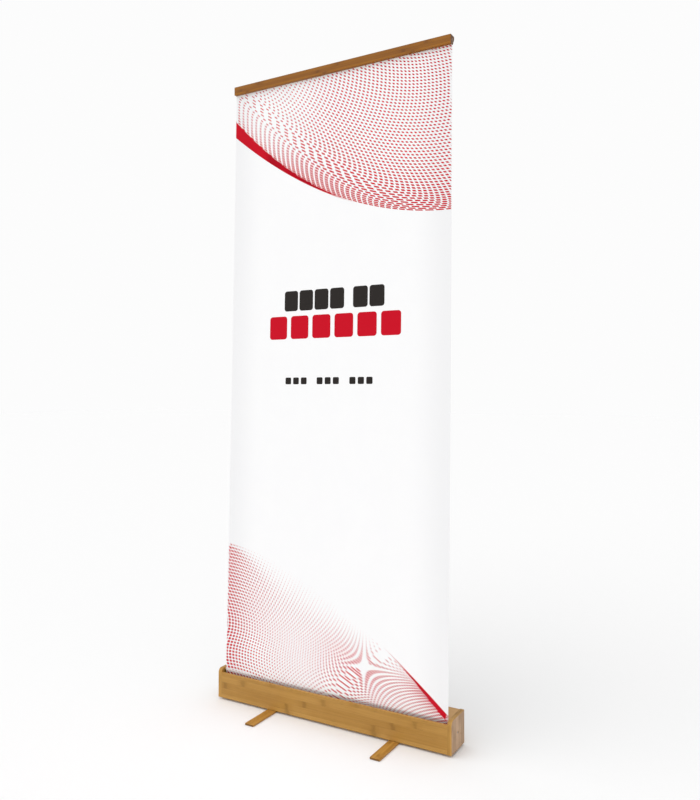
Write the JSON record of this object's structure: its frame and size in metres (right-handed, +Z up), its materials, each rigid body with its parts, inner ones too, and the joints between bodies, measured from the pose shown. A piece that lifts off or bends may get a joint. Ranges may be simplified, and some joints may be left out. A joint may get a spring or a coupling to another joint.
{
  "type": "roll-up banner stand",
  "caption": "Roll-up banner stand: a bamboo cassette on swivelling feet, a printed sheet drawn up from its spring roller to a clamping rail, and a telescopic pole behind.",
  "frame": {"origin": "on the floor, midway between the ends of the feet and under the middle of the cassette", "axes": "+X to the viewer's right along the cassette, +Y to the back, +Z up; the printed side faces -Y"},
  "size_m": [0.835, 0.332, 2.073],
  "materials": {
    "bamboo": "satin lacquered bamboo laminate",
    "dowel_wood": "plain beech",
    "steel": "zinc plated",
    "aluminium": "satin anodised",
    "black_plastic": "moulded, fine texture",
    "grey_plastic": "moulded, smooth",
    "banner_cloth": "flat printed display cloth",
    "tape": "double-sided adhesive tape",
    "rubber": "thin anti-slip pad"
  },
  "bodies": {
    "cassette": {"front_board": "bamboo", "back_board": "bamboo", "bottom_board": "bamboo", "top_cover": "bamboo", "end_cap_left": "bamboo", "end_cap_right": "bamboo", "cap_dowels": "dowel_wood", "foot_screws": "steel", "foot_washers": "steel", "idler_axle": "steel", "spring_axle": "steel", "torsion_spring": "steel", "lock_screw": "steel", "pole_socket": "black_plastic", "pole_grommet": "black_plastic", "pole_lower_tube": "aluminium", "lower_lock_insert": "grey_plastic", "banner_sheet": "banner_cloth", "banner_leader": "banner_cloth"},
    "foot_left": {"foot_left": "bamboo", "foot_left_pads": "rubber"},
    "foot_right": {"foot_right": "bamboo", "foot_right_pads": "rubber"},
    "roller": {"roller_tube": "aluminium", "banner_roll": "banner_cloth", "roller_plug_left": "grey_plastic", "roller_plug_right": "grey_plastic", "spring_anchor": "grey_plastic"},
    "pole_mid": {"pole_mid_tube": "aluminium", "pole_mid_plug": "grey_plastic", "upper_lock_insert": "grey_plastic"},
    "pole_top": {"pole_top_tube": "aluminium", "pole_top_plug": "grey_plastic", "pole_hook_cap": "black_plastic"},
    "rail": {"rail_front_strip": "bamboo", "rail_back_strip": "bamboo", "rail_screws": "steel", "rail_tape": "tape"},
    "lower_collar": {"lower_lock_collar": "black_plastic"},
    "upper_collar": {"upper_lock_collar": "black_plastic"}
  },
  "joints": [
    {"name": "foot_left_swivel", "type": "hinge", "parent": "cassette", "child": "foot_left", "pos_m": [-0.2, 0, 0.0035], "axis": [0, 0, 1], "range_deg": [-90, 90]},
    {"name": "foot_right_swivel", "type": "hinge", "parent": "cassette", "child": "foot_right", "pos_m": [0.236, 0, 0.0035], "axis": [0, 0, 1], "range_deg": [-90, 90]},
    {"name": "rail_lower", "type": "slide", "parent": "cassette", "child": "rail", "axis": [0, 0, 1], "range_m": [-1.2, 0], "deforming": ["banner_sheet"]},
    {"name": "pole_mid_slide", "type": "slide", "parent": "cassette", "child": "pole_mid", "axis": [0, 0, 1], "range_m": [-0.6, 0]},
    {"name": "pole_top_slide", "type": "slide", "parent": "pole_mid", "child": "pole_top", "axis": [0, 0, 1], "range_m": [-0.6, 0]},
    {"name": "roller_spin", "type": "hinge", "parent": "cassette", "child": "roller", "pos_m": [0, -0.001, 0.055], "axis": [1, 0, 0], "range_deg": [0, 4168]},
    {"name": "lower_collar_twist", "type": "hinge", "parent": "cassette", "child": "lower_collar", "pos_m": [0, 0.03, 0.727], "axis": [0, 0, 1], "range_deg": [0, 120]},
    {"name": "upper_collar_twist", "type": "hinge", "parent": "pole_mid", "child": "upper_collar", "pos_m": [0, 0.03, 1.379], "axis": [0, 0, 1], "range_deg": [0, 120]}
  ],
  "couplings": [
    {"joint": "pole_mid_slide", "follows": "rail_lower", "ratio": 0.5},
    {"joint": "pole_top_slide", "follows": "rail_lower", "ratio": 0.5},
    {"joint": "roller_spin", "follows": "rail_lower", "rad_per_m": -60.606}
  ]
}
